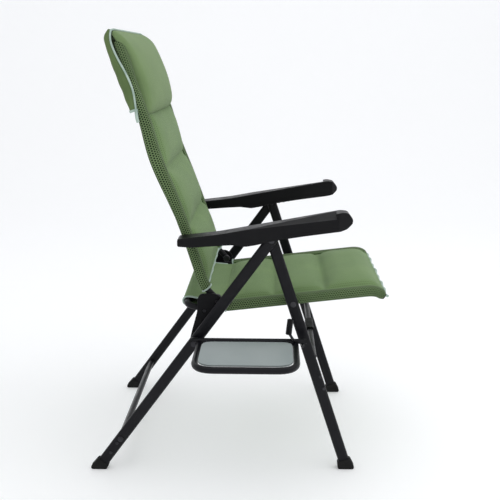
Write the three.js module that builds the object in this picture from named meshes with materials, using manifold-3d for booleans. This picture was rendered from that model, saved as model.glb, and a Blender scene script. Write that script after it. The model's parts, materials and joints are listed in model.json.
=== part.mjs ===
// A folding camp chair with a high reclining back, crossed flat-oval legs and a side tray.
//
// Units are millimetres. While the chair is being built, X runs from the rear feet to the front,
// Y runs from the middle of the chair to its left side, and Z is the height above the floor.
// The tray hangs on the right-hand legs. At the end the origin is moved to the floor under the
// middle of the whole chair's box.

import * as THREE from 'three';
import { mergeVertices } from 'three/addons/utils/BufferGeometryUtils.js';
import Module from 'manifold-3d';

const wasm = await Module();
wasm.setup();

// ---------------------------------------------------------------- driving dimensions

const LEFT = 1;
const RIGHT = -1;
const GAP = 0.3;                       // air between touching pieces

// Pivots, as [x, z] in the side view.
const APEX = [463, 647];               // rear leg, front leg and armrest cross here
const REAR_FOOT = [-10.3, 0];          // where the rear leg's centre line meets the floor
const FRONT_FOOT = [673.4, 0];
const LINK_PIVOT = [261.2, 372];       // hinge bracket on the rear leg
const SEAT_HINGE = [286, 447];         // seat tube on the hinge bracket
const BACK_HINGE = [319, 473];         // back tube on the hinge bracket
const SEAT_PIVOT = [521.4, 472];       // seat on the front leg
const ARM_HINGE = [244, 640];          // armrest on the back tube
const TRAY_STUD = [546, 372.7];        // what the tray rail's front end rests on
const REAR_BAR = [55, 90];             // stretcher between the rear legs
const FRONT_BAR = [578, 322];          // stretcher between the front legs
const FRONT_BAR_TUBE = 16;

// Flat-oval leg tube.
const LEG_WIDTH = 30;
const LEG_THICKNESS = 15;
const LEG_OVERRUN = 14;                // beyond the apex
const LEG_START = 16;                  // from the floor point, along the leg, to the tube's cut end
const FRONT_LEG_Y = 262;
const REAR_LEG_Y = 280;

// Round frame tubes and what covers them.
const FRAME_TUBE = 18;
const FRAME_Y = 231;
const SLEEVE = 2.6;                    // cloth round a frame tube
const PAD_Y = FRAME_Y + FRAME_TUBE / 2 + SLEEVE;
const SLING_Y = 196;                   // half width of the cloth behind the seat pad

// Hinge bracket plate.
const LINK_IN = 244.6;
const LINK_OUT = 252.4;

// Armrest shell.
const ARM_IN = 243.9;
const ARM_OUT = 294.5;
const ARM_WALL = 3.2;
const RACK_THICKNESS = 3.8;
const RACK_TEETH = 7;
const RACK_PITCH = 15;
const RACK_SLOPE = 10.5;               // degrees, the armrest's own slope

// Foot caps.
const FOOT_WALL = 3;
const FOOT_REACH = 28;                 // along the leg
const FOOT_HALF = 21;                  // half the sole's length
const FOOT_SKIRT = 8;                  // where the flare begins, above the floor

// Pins and bolts.
const BOLT_RADIUS = 4;
const APEX_RADIUS = 5;
const HEAD_RADIUS = 8;
const HEAD_HEIGHT = 2.4;
const ARM_PIN_RADIUS = 7;
const CAP_RADIUS = 11;                 // round cap on a back hinge pin's inner end
const CAP_THICKNESS = 10;
const PIN_SEAT = 6;                    // how far a hinge pin reaches inward of its tube's middle

// Tray.
const RAIL_Y = -307;
const RAIL_Z = 384;
const RAIL_TUBE = 14;
const TRAY_REAR = 277;
const TRAY_FRONT = 527;
const TRAY_OUTER = -491.5;
const TRAY_TUBE = 17;
const TRAY_CORNER = 52;
const COLLAR_REAR = 280;
const COLLAR_FRONT = 524;
const COLLAR_RADIUS = 10.5;
const COLLAR_LENGTH = 15;
const PANEL_THICKNESS = 4;
const LUG_IN = ARM_OUT + 1.5;          // the rail's lug, outside the armrest
const LUG_OUT = LUG_IN + 6;

const ROUND_SIDES = 8;
const PIN_SIDES = 10;
const CORNER_STEPS = 3;                // straight pieces in each rounded corner
const SEAT_STEPS = 60;                 // rings along each bent tube
const BACK_STEPS = 72;
const TRAY_STEPS = 44;

// ---------------------------------------------------------------- materials

function material(color, roughness, metalness) {
  return new THREE.MeshStandardMaterial({ color, roughness, metalness });
}

const blackPaint = () => material(0x17181b, 0.38, 0.5);
const blackPlastic = () => material(0x1b1c1e, 0.55, 0.0);
const satinPlastic = () => material(0x202225, 0.4, 0.0);
const blackRubber = () => material(0x141414, 0.8, 0.0);
const darkSteel = () => material(0x3a3c40, 0.35, 0.9);
const greenCloth = () => material(0x6c8f58, 0.9, 0.0);
const greyPanel = () => material(0x9aa3a3, 0.55, 0.0);

// ---------------------------------------------------------------- solids

const chair = new THREE.Group();

function add(name, geometry, finish) {
  const mesh = new THREE.Mesh(geometry, finish);
  mesh.name = name;
  chair.add(mesh);
  return mesh;
}

function sideName(side) {
  return side === LEFT ? 'left' : 'right';
}

function toSolid(geometry) {
  const plain = geometry.clone();
  plain.deleteAttribute('normal');
  plain.deleteAttribute('uv');
  const merged = mergeVertices(plain, 1e-4);
  return new wasm.Manifold(new wasm.Mesh({
    numProp: 3,
    vertProperties: Float32Array.from(merged.attributes.position.array),
    triVerts: Uint32Array.from(merged.index.array),
  }));
}

function toGeometry(solid) {
  const mesh = solid.getMesh();
  const geometry = new THREE.BufferGeometry();
  geometry.setAttribute('position', new THREE.BufferAttribute(mesh.vertProperties, 3));
  geometry.setIndex(new THREE.BufferAttribute(mesh.triVerts, 1));
  return geometry;
}

function cut(geometry, ...tools) {
  let solid = toSolid(geometry);
  for (const tool of tools) solid = solid.subtract(toSolid(tool));
  return toGeometry(solid);
}

function join(geometry, ...others) {
  let solid = toSolid(geometry);
  for (const other of others) solid = solid.add(toSolid(other));
  return toGeometry(solid);
}

// A plate whose outline lies in the side view, between two distances from the middle plane.
function plate(shape, y0, y1, bevel = 0) {
  const depth = Math.abs(y1 - y0) - 2 * bevel;
  const geometry = new THREE.ExtrudeGeometry(shape, {
    depth,
    bevelEnabled: bevel > 0,
    bevelThickness: bevel,
    bevelSize: bevel,
    bevelOffset: -bevel,
    bevelSegments: 1,
    curveSegments: CORNER_STEPS,
  });
  geometry.rotateX(Math.PI / 2);
  geometry.translate(0, (y0 + y1) / 2 + depth / 2, 0);
  return geometry;
}

function polygon(points) {
  return new THREE.Shape(points.map(([x, z]) => new THREE.Vector2(x, z)));
}

// A polygon whose corners are rounded.
function rounded(points, radius) {
  const shape = new THREE.Shape();
  const corners = points.map(([x, z]) => new THREE.Vector2(x, z));
  corners.forEach((corner, i) => {
    const before = corners[(i + corners.length - 1) % corners.length];
    const after = corners[(i + 1) % corners.length];
    const reach = (end) => Math.min(radius, corner.distanceTo(end) * 0.45);
    const enter = corner.clone().lerp(before, reach(before) / corner.distanceTo(before));
    const leave = corner.clone().lerp(after, reach(after) / corner.distanceTo(after));
    if (i === 0) shape.moveTo(enter.x, enter.y);
    else shape.lineTo(enter.x, enter.y);
    shape.quadraticCurveTo(corner.x, corner.y, leave.x, leave.y);
  });
  shape.closePath();
  return shape;
}

function stadium(width, height) {
  const half = (width - height) / 2;
  const shape = new THREE.Shape();
  shape.absarc(half, 0, height / 2, -Math.PI / 2, Math.PI / 2, false);
  shape.absarc(-half, 0, height / 2, Math.PI / 2, 1.5 * Math.PI, false);
  shape.closePath();
  return shape;
}

// A straight flat-oval bar between two side-view points.
function legBar(from, to, y, width, thickness) {
  const start = new THREE.Vector3(from[0], y, from[1]);
  const end = new THREE.Vector3(to[0], y, to[1]);
  const along = end.clone().sub(start);
  const length = along.length();
  along.normalize();
  const lateral = new THREE.Vector3(0, 1, 0);
  const across = lateral.clone().cross(along);
  const geometry = new THREE.ExtrudeGeometry(stadium(width, thickness), {
    depth: length,
    bevelEnabled: false,
    curveSegments: 4,
  });
  geometry.applyMatrix4(new THREE.Matrix4().makeBasis(across, lateral, along).setPosition(start));
  return geometry;
}

function circle(diameter, sides = ROUND_SIDES) {
  const shape = new THREE.Shape();
  for (let i = 0; i < sides; i += 1) {
    const angle = (2 * Math.PI * i) / sides;
    const x = (diameter / 2) * Math.cos(angle);
    const y = (diameter / 2) * Math.sin(angle);
    if (i === 0) shape.moveTo(x, y);
    else shape.lineTo(x, y);
  }
  shape.closePath();
  return shape;
}

// A round tube along a path.
function tube(path, diameter, steps, sides = ROUND_SIDES) {
  return new THREE.ExtrudeGeometry(circle(diameter, sides), { extrudePath: path, steps });
}

// A round bar across the chair.
function crossRod(at, diameter, y0, y1, sides = PIN_SIDES) {
  const geometry = new THREE.CylinderGeometry(diameter / 2, diameter / 2, Math.abs(y1 - y0), sides);
  geometry.translate(at[0], (y0 + y1) / 2, at[1]);
  return geometry;
}

// A path through points, with each corner rounded.
function bentPath(points, radius) {
  const path = new THREE.CurvePath();
  let last = points[0];
  for (let i = 1; i < points.length - 1; i += 1) {
    const corner = points[i];
    const next = points[i + 1];
    const reach = Math.min(radius, corner.distanceTo(last) * 0.5, corner.distanceTo(next) * 0.5);
    const enter = corner.clone().lerp(last, reach / corner.distanceTo(last));
    const leave = corner.clone().lerp(next, reach / corner.distanceTo(next));
    path.add(new THREE.LineCurve3(last, enter));
    path.add(new THREE.QuadraticBezierCurve3(enter, corner, leave));
    last = leave;
  }
  path.add(new THREE.LineCurve3(last, points[points.length - 1]));
  return path;
}

// A turned pin across the chair: shank, then a head at its outer end.
function headedPin(at, side, inner, face, radius) {
  const profile = [
    [0, inner],
    [radius - 0.6, inner],
    [radius, inner + 0.6],
    [radius, face + GAP],
    [HEAD_RADIUS, face + GAP],
    [HEAD_RADIUS, face + GAP + HEAD_HEIGHT * 0.5],
    [HEAD_RADIUS * 0.7, face + GAP + HEAD_HEIGHT],
    [0, face + GAP + HEAD_HEIGHT],
  ].map(([r, y]) => new THREE.Vector2(r, y));
  const geometry = new THREE.LatheGeometry(profile, PIN_SIDES);
  if (side === RIGHT) geometry.rotateX(Math.PI);
  geometry.translate(at[0], 0, at[1]);
  return geometry;
}

// A plain turned pin with chamfered ends.
function plainPin(at, side, inner, outer, radius) {
  const profile = [
    [0, inner],
    [radius - 0.6, inner],
    [radius, inner + 0.6],
    [radius, outer - 0.6],
    [radius - 0.6, outer],
    [0, outer],
  ].map(([r, y]) => new THREE.Vector2(r, y));
  const geometry = new THREE.LatheGeometry(profile, PIN_SIDES);
  if (side === RIGHT) geometry.rotateX(Math.PI);
  geometry.translate(at[0], 0, at[1]);
  return geometry;
}

// A pin through a frame tube, with a round cap against the tube's inner side.
function cappedPin(at, side, outer) {
  const face = FRAME_Y - FRAME_TUBE / 2 - GAP;
  const profile = [
    [0, face - CAP_THICKNESS],
    [CAP_RADIUS - 2, face - CAP_THICKNESS],
    [CAP_RADIUS, face - CAP_THICKNESS + 2],
    [CAP_RADIUS, face],
    [BOLT_RADIUS, face],
    [BOLT_RADIUS, outer - 0.6],
    [BOLT_RADIUS - 0.6, outer],
    [0, outer],
  ].map(([r, y]) => new THREE.Vector2(r, y));
  const geometry = new THREE.LatheGeometry(profile, PIN_SIDES);
  if (side === RIGHT) geometry.rotateX(Math.PI);
  geometry.translate(at[0], 0, at[1]);
  return geometry;
}

// The tool that drills a pin's hole. Even its flats stay clear of the turning pin's corners.
function drill(at, side, inner, outer, radius) {
  const reach = (radius + GAP) / Math.cos(Math.PI / PIN_SIDES);
  return crossRod(at, 2 * reach, side * inner, side * outer);
}

// The side-view point a distance along the way from one point to another.
function pointAlong(from, to, distance) {
  const length = Math.hypot(to[0] - from[0], to[1] - from[1]);
  return [
    from[0] + ((to[0] - from[0]) * distance) / length,
    from[1] + ((to[1] - from[1]) * distance) / length,
  ];
}

function legLength(foot) {
  return Math.hypot(APEX[0] - foot[0], APEX[1] - foot[1]);
}

// ---------------------------------------------------------------- legs

function leg(foot, y, side, holes) {
  const start = pointAlong(foot, APEX, LEG_START);
  const end = pointAlong(foot, APEX, legLength(foot) + LEG_OVERRUN);
  const bar = legBar(start, end, side * y, LEG_WIDTH, LEG_THICKNESS);
  const inner = y - LEG_THICKNESS;
  const outer = y + LEG_THICKNESS;
  const tools = holes.map(([at, radius]) => drill(at, side, inner, outer, radius));
  return cut(bar, ...tools);
}

// A flared rubber foot with a flat sole and a pocket for the leg.
function foot(floorPoint, y, side) {
  const socket = pointAlong(floorPoint, APEX, FOOT_REACH);
  const half = LEG_WIDTH / 2 + FOOT_WALL;
  const lean = (APEX[0] - floorPoint[0]) / legLength(floorPoint);
  const rise = (APEX[1] - floorPoint[1]) / legLength(floorPoint);
  const middle = floorPoint[0] + 6 * lean;
  const outline = rounded([
    [middle - FOOT_HALF, 0],
    [middle + FOOT_HALF, 0],
    [middle + FOOT_HALF + 2, FOOT_SKIRT],
    [socket[0] + half * rise, socket[1] - half * lean],
    [socket[0] - half * rise, socket[1] + half * lean],
    [middle - FOOT_HALF - 2, FOOT_SKIRT],
  ], 5);
  const reach = LEG_THICKNESS / 2 + FOOT_WALL;
  const body = plate(outline, side * (y - reach), side * (y + reach), 1.5);
  const start = pointAlong(floorPoint, APEX, LEG_START - GAP);
  const end = pointAlong(floorPoint, APEX, 90);
  const pocket = legBar(start, end, side * y, LEG_WIDTH + 2 * GAP, LEG_THICKNESS + 2 * GAP);
  return cut(body, pocket);
}

function rearLegs() {
  for (const side of [LEFT, RIGHT]) {
    const name = sideName(side);
    const inner = REAR_LEG_Y - LEG_THICKNESS / 2;
    const outer = REAR_LEG_Y + LEG_THICKNESS / 2;
    add(`rear_leg_${name}`, leg(REAR_FOOT, REAR_LEG_Y, side, [
      [APEX, APEX_RADIUS],
      [LINK_PIVOT, BOLT_RADIUS],
      [REAR_BAR, BOLT_RADIUS],
    ]), blackPaint());
    add(`rear_foot_${name}`, foot(REAR_FOOT, REAR_LEG_Y, side), blackRubber());
    const apexInner = FRONT_LEG_Y - LEG_THICKNESS / 2 - 1.6;
    add(`apex_bolt_${name}`, headedPin(APEX, side, apexInner, outer, APEX_RADIUS), darkSteel());
    const barBolt = headedPin(REAR_BAR, side, inner - 14, outer, BOLT_RADIUS);
    add(`rear_bar_bolt_${name}`, barBolt, darkSteel());
  }
}

function rearStretcher() {
  const end = REAR_LEG_Y - LEG_THICKNESS / 2 - GAP;
  const lean = Math.atan2(APEX[1] - REAR_FOOT[1], APEX[0] - REAR_FOOT[0]);
  const shape = stadium(26, 15);
  const geometry = new THREE.ExtrudeGeometry(shape, {
    depth: 2 * end,
    bevelEnabled: false,
    curveSegments: 5,
  });
  geometry.rotateX(Math.PI / 2);
  geometry.rotateY(-lean);
  geometry.translate(REAR_BAR[0], end, REAR_BAR[1]);
  const tools = [LEFT, RIGHT].map((side) => drill(REAR_BAR, side, end - 15, end + 5, BOLT_RADIUS));
  add('rear_stretcher', cut(geometry, ...tools), blackPaint());
}

function frontLegs() {
  for (const side of [LEFT, RIGHT]) {
    const name = sideName(side);
    const outer = FRONT_LEG_Y + LEG_THICKNESS / 2;
    const holes = [[APEX, APEX_RADIUS], [SEAT_PIVOT, BOLT_RADIUS]];
    if (side === RIGHT) holes.push([TRAY_STUD, BOLT_RADIUS]);
    add(`front_leg_${name}`, leg(FRONT_FOOT, FRONT_LEG_Y, side, holes), blackPaint());
    add(`front_foot_${name}`, foot(FRONT_FOOT, FRONT_LEG_Y, side), blackRubber());
    const seatBolt = headedPin(SEAT_PIVOT, side, PAD_Y + 1, outer, BOLT_RADIUS);
    add(`seat_bolt_${name}`, seatBolt, darkSteel());
  }
  const studOuter = -RAIL_Y + 8;
  const studInner = FRONT_LEG_Y - LEG_THICKNESS / 2 + 1;
  add('tray_stud', plainPin(TRAY_STUD, RIGHT, studInner, studOuter, BOLT_RADIUS), darkSteel());
}

function frontStretcher() {
  const end = FRONT_LEG_Y - LEG_THICKNESS / 2 - GAP;
  add('front_stretcher', crossRod(FRONT_BAR, FRONT_BAR_TUBE, -end, end, 16), blackPaint());
  // A moulded collar in the middle of the bar, with a short lip to hold the folded chair by.
  const [x, z] = FRONT_BAR;
  const outline = rounded([
    [x - 13, z + 10],
    [x + 10, z + 13],
    [x + 13, z - 10],
    [x + 6, z - 30],
    [x - 6, z - 32],
    [x - 12, z - 12],
  ], 6);
  const collar = plate(outline, -45, 45, 2);
  const bore = crossRod(FRONT_BAR, FRONT_BAR_TUBE + 2 * GAP, -60, 60, 16);
  add('carry_grip', cut(collar, bore), satinPlastic());
}

// ---------------------------------------------------------------- hinge brackets

function hingeBrackets() {
  const outline = rounded([
    [246, 366],
    [252, 392],
    [267, 446],
    [267, 478],
    [275, 494],
    [318, 494],
    [336, 480],
    [334, 460],
    [300, 424],
    [280, 384],
    [276, 362],
    [262, 354],
  ], 9);
  for (const side of [LEFT, RIGHT]) {
    const name = sideName(side);
    const body = plate(outline, side * LINK_IN, side * LINK_OUT, 1.2);
    const reach = [LINK_IN - 5, LINK_OUT + 5];
    add(`hinge_bracket_${name}`, cut(
      body,
      drill(LINK_PIVOT, side, ...reach, BOLT_RADIUS),
      drill(SEAT_HINGE, side, ...reach, BOLT_RADIUS),
      drill(BACK_HINGE, side, ...reach, BOLT_RADIUS),
    ), blackPlastic());
    const outer = LINK_OUT - GAP;
    const seatPin = plainPin(SEAT_HINGE, side, FRAME_Y - PIN_SEAT, outer, BOLT_RADIUS);
    add(`seat_hinge_pin_${name}`, seatPin, darkSteel());
    add(`back_hinge_pin_${name}`, cappedPin(BACK_HINGE, side, outer), darkSteel());
  }
  const face = REAR_LEG_Y + LEG_THICKNESS / 2;
  add('link_bolt_left', headedPin(LINK_PIVOT, LEFT, LINK_IN + GAP, face, BOLT_RADIUS), darkSteel());
  add('link_bolt_right', headedPin(LINK_PIVOT, RIGHT, LINK_IN + GAP, LUG_OUT, BOLT_RADIUS), darkSteel());
}

// ---------------------------------------------------------------- seat

const SEAT_SLOPE = 0.117;

function seatHeight(x) {
  return SEAT_HINGE[1] + (x - SEAT_HINGE[0]) * SEAT_SLOPE;
}

function seatPath() {
  const front = 742;
  const noseX = 764;
  const noseZ = 485;
  const rearX = 236;
  const rearZ = 458;
  const corner = (x, y, z) => new THREE.Vector3(x, y, z);
  return bentPath([
    corner(noseX, -FRAME_Y, noseZ),
    corner(front, -FRAME_Y, seatHeight(front)),
    corner(SEAT_HINGE[0], -FRAME_Y, SEAT_HINGE[1]),
    corner(rearX, -FRAME_Y, rearZ),
    corner(rearX, FRAME_Y, rearZ),
    corner(SEAT_HINGE[0], FRAME_Y, SEAT_HINGE[1]),
    corner(front, FRAME_Y, seatHeight(front)),
    corner(noseX, FRAME_Y, noseZ),
  ], 26);
}

function seatFrame() {
  const inner = FRAME_Y - PIN_SEAT - GAP;
  const pins = [LEFT, RIGHT].map((side) => (
    drill(SEAT_HINGE, side, inner, FRAME_Y + 20, BOLT_RADIUS)
  ));
  add('seat_frame', cut(tube(seatPath(), FRAME_TUBE, SEAT_STEPS), ...pins), blackPaint());
  const end = FRAME_Y - FRAME_TUBE / 2 - GAP;
  add('seat_front_bar', crossRod([758, 490], 14, -end, end, 12), blackPaint());
}

// The quilted seat cover: a thick pad to the front, a single cloth behind it.
function seatPad() {
  const rear = 334;
  const front = 772;
  const half = 14;
  const pad = plate(rounded([
    [rear, seatHeight(rear) - half],
    [740, seatHeight(740) - half],
    [front - 9, 474],
    [front, 482],
    [front - 8, 497],
    [744, seatHeight(744) + half + 2],
    [rear, seatHeight(rear) + half],
  ], 9), -PAD_Y, PAD_Y, 2);
  const sling = plate(rounded([
    [226, 447],
    [250, 446],
    [rear + 8, seatHeight(rear) - 4],
    [rear + 8, seatHeight(rear) + 6],
    [250, 470],
    [226, 470],
  ], 5), -SLING_Y, SLING_Y);
  const clearance = tube(seatPath(), FRAME_TUBE + 2 * GAP, SEAT_STEPS);
  const end = FRAME_Y - FRAME_TUBE / 2;
  const bar = crossRod([758, 490], 14 + 2 * GAP, -end, end, 12);
  add('seat_pad', cut(join(pad, sling), clearance, bar), greenCloth());
}

// ---------------------------------------------------------------- back

// Side view of the back tube, from its hinge to its top.
const BACK_LINE = [
  BACK_HINGE,
  [286, 511],
  [266, 570],
  ARM_HINGE,
  [207, 745],
  [167, 850],
  [142, 940],
  [110, 1035],
  [88, 1112],
];
const BACK_TOP = [76, 1153];

function backCurve() {
  const points = BACK_LINE.map(([x, z]) => new THREE.Vector3(x, 0, z));
  return new THREE.CatmullRomCurve3(points, false, 'centripetal');
}

function backPath() {
  const bend = 36;
  const top = (y) => new THREE.Vector3(BACK_TOP[0], y, BACK_TOP[1]);
  const side = (y) => BACK_LINE.map(([x, z]) => new THREE.Vector3(x, y, z));
  const right = side(-FRAME_Y);
  const left = side(FRAME_Y).reverse();
  const path = new THREE.CurvePath();
  path.add(new THREE.CatmullRomCurve3(right, false, 'centripetal'));
  path.add(new THREE.QuadraticBezierCurve3(right[right.length - 1], top(-FRAME_Y), top(-FRAME_Y + bend)));
  path.add(new THREE.LineCurve3(top(-FRAME_Y + bend), top(FRAME_Y - bend)));
  path.add(new THREE.QuadraticBezierCurve3(top(FRAME_Y - bend), top(FRAME_Y), left[0]));
  path.add(new THREE.CatmullRomCurve3(left, false, 'centripetal'));
  return path;
}

// The outline of a band that follows the back's curve between two of its points.
function backBand(from, to, behind, ahead) {
  const curve = backCurve();
  const count = 12;
  const front = [];
  const rear = [];
  for (let i = 0; i <= count; i += 1) {
    const u = from + ((to - from) * i) / count;
    const point = curve.getPointAt(u);
    const tangent = curve.getTangentAt(u);
    const ease = Math.sin((Math.PI * i) / count) ** 0.3;
    front.push([point.x + tangent.z * ahead * ease, point.z - tangent.x * ahead * ease]);
    rear.push([point.x - tangent.z * behind * ease, point.z + tangent.x * behind * ease]);
  }
  return polygon([...front, ...rear.slice(1, -1).reverse()]);
}

function backTubeClearance() {
  return tube(backPath(), FRAME_TUBE + 2 * GAP, BACK_STEPS);
}

function backFrame() {
  const pins = [LEFT, RIGHT].flatMap((side) => [
    drill(BACK_HINGE, side, FRAME_Y - 20, FRAME_Y + 20, BOLT_RADIUS),
    drill(ARM_HINGE, side, FRAME_Y - PIN_SEAT - GAP, FRAME_Y + 20, ARM_PIN_RADIUS),
  ]);
  add('back_frame', cut(tube(backPath(), FRAME_TUBE, BACK_STEPS), ...pins), blackPaint());
}

function backPad() {
  const band = plate(backBand(0.065, 0.742, 13, 18), -PAD_Y, PAD_Y, 1.5);
  const pins = [LEFT, RIGHT].map((side) => (
    drill(ARM_HINGE, side, FRAME_Y - 10, FRAME_Y + 20, ARM_PIN_RADIUS + 2)
  ));
  add('back_pad', cut(band, backTubeClearance(), ...pins), greenCloth());
}

// The head pillow is a pocket over the top of the back, thick behind and in front.
function headPillow() {
  const outline = rounded([
    [101, 962],
    [160, 962],
    [156, 1010],
    [143, 1060],
    [122, 1107],
    [84, 1166],
    [60, 1172],
    [42, 1156],
    [48, 1110],
    [66, 1050],
  ], 14);
  const body = plate(outline, -PAD_Y, PAD_Y, 3);
  add('head_pillow', cut(body, backTubeClearance()), greenCloth());
}

// ---------------------------------------------------------------- armrests

function armrests() {
  const outline = rounded([
    [222, 631],
    [222, 651],
    [330, 664],
    [640, 721],
    [657, 719],
    [671, 701],
    [671, 690],
    [656, 677],
    [640, 673],
    [545, 660],
    [464, 647],
    [426, 637],
    [397, 632],
    [362, 636],
    [326, 634],
    [260, 629],
  ], 5);
  const cavity = polygon([
    [264, 590],
    [264, 651],
    [330, 660],
    [640, 717],
    [652, 713],
    [652, 590],
  ]);
  for (const side of [LEFT, RIGHT]) {
    const name = sideName(side);
    const shell = plate(outline, side * ARM_IN, side * ARM_OUT, 2);
    const block = plate(cavity, side * (ARM_IN + ARM_WALL), side * (ARM_OUT - ARM_WALL));
    const hollow = cut(block, ...armrestChamfers(side, ARM_WALL + 1));
    const pinHole = drill(ARM_HINGE, side, ARM_IN - 5, ARM_OUT - 12, ARM_PIN_RADIUS);
    const body = cut(shell, ...armrestChamfers(side, 0), hollow, pinHole);
    add(`armrest_${name}`, body, satinPlastic());
    const pin = plainPin(ARM_HINGE, side, FRAME_Y - PIN_SEAT, ARM_OUT - 14, ARM_PIN_RADIUS);
    add(`arm_hinge_pin_${name}`, pin, darkSteel());
    add(`ratchet_rack_${name}`, ratchetRack(side), blackPlastic());
  }
}

// Everything on one side of a plane through three points, as a thick block.
function planeBlock(a, b, c) {
  const size = 400;
  const along = b.clone().sub(a).normalize();
  const normal = along.clone().cross(c.clone().sub(a)).normalize();
  const across = normal.clone().cross(along);
  const block = new THREE.BoxGeometry(size, size, size);
  block.translate(0, 0, size / 2);
  block.applyMatrix4(new THREE.Matrix4().makeBasis(along, across, normal).setPosition(a));
  return block;
}

// The armrest's front end narrows on both sides, and its outer top edge falls away to the front.
function armrestChamfers(side, inset) {
  const at = (x, y, z) => new THREE.Vector3(x, side * y, z);
  const order = (a, b, c) => (side === LEFT ? planeBlock(a, b, c) : planeBlock(b, a, c));
  const outer = order(
    at(671 - inset, 271, 640),
    at(634 - inset, ARM_OUT, 640),
    at(671 - inset, 271, 740),
  );
  const inner = order(
    at(655 - inset, ARM_IN, 640),
    at(671 - inset, 258, 640),
    at(655 - inset, ARM_IN, 740),
  );
  const edge = order(
    at(430, ARM_OUT, 680 - inset),
    at(430, 283, 684 - inset),
    at(640, ARM_OUT, 706 - inset),
  );
  return [outer, inner, edge];
}

// The toothed bar that hangs inside the armrest, above the apex bolt.
function ratchetRack(side) {
  const slope = Math.tan(THREE.MathUtils.degToRad(RACK_SLOPE));
  const height = (x) => APEX[1] + (x - APEX[0]) * slope;
  const first = APEX[0] - RACK_PITCH / 2;
  const points = [];
  for (let i = 0; i <= RACK_TEETH; i += 1) {
    const x = first + i * RACK_PITCH;
    points.push([x - 3, height(x) - 2]);
    points.push([x + 3, height(x) - 2]);
    if (i < RACK_TEETH) points.push([x + RACK_PITCH / 2, height(x) + 9]);
  }
  const last = first + RACK_TEETH * RACK_PITCH;
  points.push([last + 10, height(last) + 30]);
  points.push([first - 10, height(first) + 30]);
  const y = ARM_IN + ARM_WALL + GAP;
  return plate(polygon(points), side * y, side * (y + RACK_THICKNESS));
}

// ---------------------------------------------------------------- tray

function trayRail() {
  const rear = 262;
  const front = 556;
  const rail = new THREE.CylinderGeometry(RAIL_TUBE / 2, RAIL_TUBE / 2, front - rear, PIN_SIDES);
  rail.rotateZ(Math.PI / 2);
  rail.translate((front + rear) / 2, RAIL_Y, RAIL_Z);
  const [x, z] = LINK_PIVOT;
  const lug = plate(rounded([
    [x - 11, z - 11],
    [x + 10, z - 11],
    [x + 11, RAIL_Z],
    [x + 10, RAIL_Z + 5],
    [x - 8, RAIL_Z + 5],
  ], 6), -LUG_IN, -LUG_OUT);
  const hole = drill(LINK_PIVOT, RIGHT, LUG_IN - 5, LUG_OUT + 5, BOLT_RADIUS);
  const headRoom = crossRod(LINK_PIVOT, 2 * HEAD_RADIUS + 1, -LUG_OUT - 0.01, -LUG_OUT - 20);
  add('tray_rail', cut(join(cut(rail, headRoom), lug), hole), blackPaint());
}

function trayFrame() {
  const at = (x, y) => new THREE.Vector3(x, y, RAIL_Z);
  const start = RAIL_Y - RAIL_TUBE / 2 - 1;
  const path = bentPath([
    at(TRAY_REAR, start),
    at(TRAY_REAR, TRAY_OUTER),
    at(TRAY_FRONT, TRAY_OUTER),
    at(TRAY_FRONT, start),
  ], TRAY_CORNER);
  const collar = (x) => {
    const ring = new THREE.CylinderGeometry(COLLAR_RADIUS, COLLAR_RADIUS, COLLAR_LENGTH, PIN_SIDES);
    ring.rotateZ(Math.PI / 2);
    ring.translate(x, RAIL_Y, RAIL_Z);
    return ring;
  };
  // The bore's flats clear the rail's corners as the tray turns.
  const clear = (RAIL_TUBE / 2 + GAP) / Math.cos(Math.PI / PIN_SIDES);
  const bore = new THREE.CylinderGeometry(clear, clear, 400, PIN_SIDES);
  bore.rotateZ(Math.PI / 2);
  bore.translate((TRAY_REAR + TRAY_FRONT) / 2, RAIL_Y, RAIL_Z);
  const loop = join(tube(path, TRAY_TUBE, TRAY_STEPS), collar(COLLAR_REAR), collar(COLLAR_FRONT));
  add('tray_frame', cut(loop, bore), blackPaint());
  const inset = TRAY_TUBE / 2 + GAP;
  const corner = TRAY_CORNER * 0.5;
  const shape = rounded([
    [TRAY_REAR + inset, RAIL_Y - 13],
    [TRAY_FRONT - inset, RAIL_Y - 13],
    [TRAY_FRONT - inset, TRAY_OUTER + inset],
    [TRAY_REAR + inset, TRAY_OUTER + inset],
  ], corner);
  const panel = new THREE.ExtrudeGeometry(shape, {
    depth: PANEL_THICKNESS,
    bevelEnabled: false,
    curveSegments: CORNER_STEPS,
  });
  panel.translate(0, 0, RAIL_Z - PANEL_THICKNESS / 2);
  add('tray_panel', cut(panel, tube(path, TRAY_TUBE + 2 * GAP, TRAY_STEPS)), greyPanel());
}

// ---------------------------------------------------------------- assembly

rearLegs();
rearStretcher();
frontLegs();
frontStretcher();
hingeBrackets();
seatFrame();
seatPad();
backFrame();
backPad();
headPillow();
armrests();
trayRail();
trayFrame();

// The origin goes to the floor under the middle of the chair's box.
const box = new THREE.Box3().setFromObject(chair, true);
chair.position.set(-(box.min.x + box.max.x) / 2, -(box.min.y + box.max.y) / 2, -box.min.z);

export default chair;
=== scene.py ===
"""A folding camp chair: quilted cloth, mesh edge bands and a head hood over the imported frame."""
import json
import math

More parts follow.
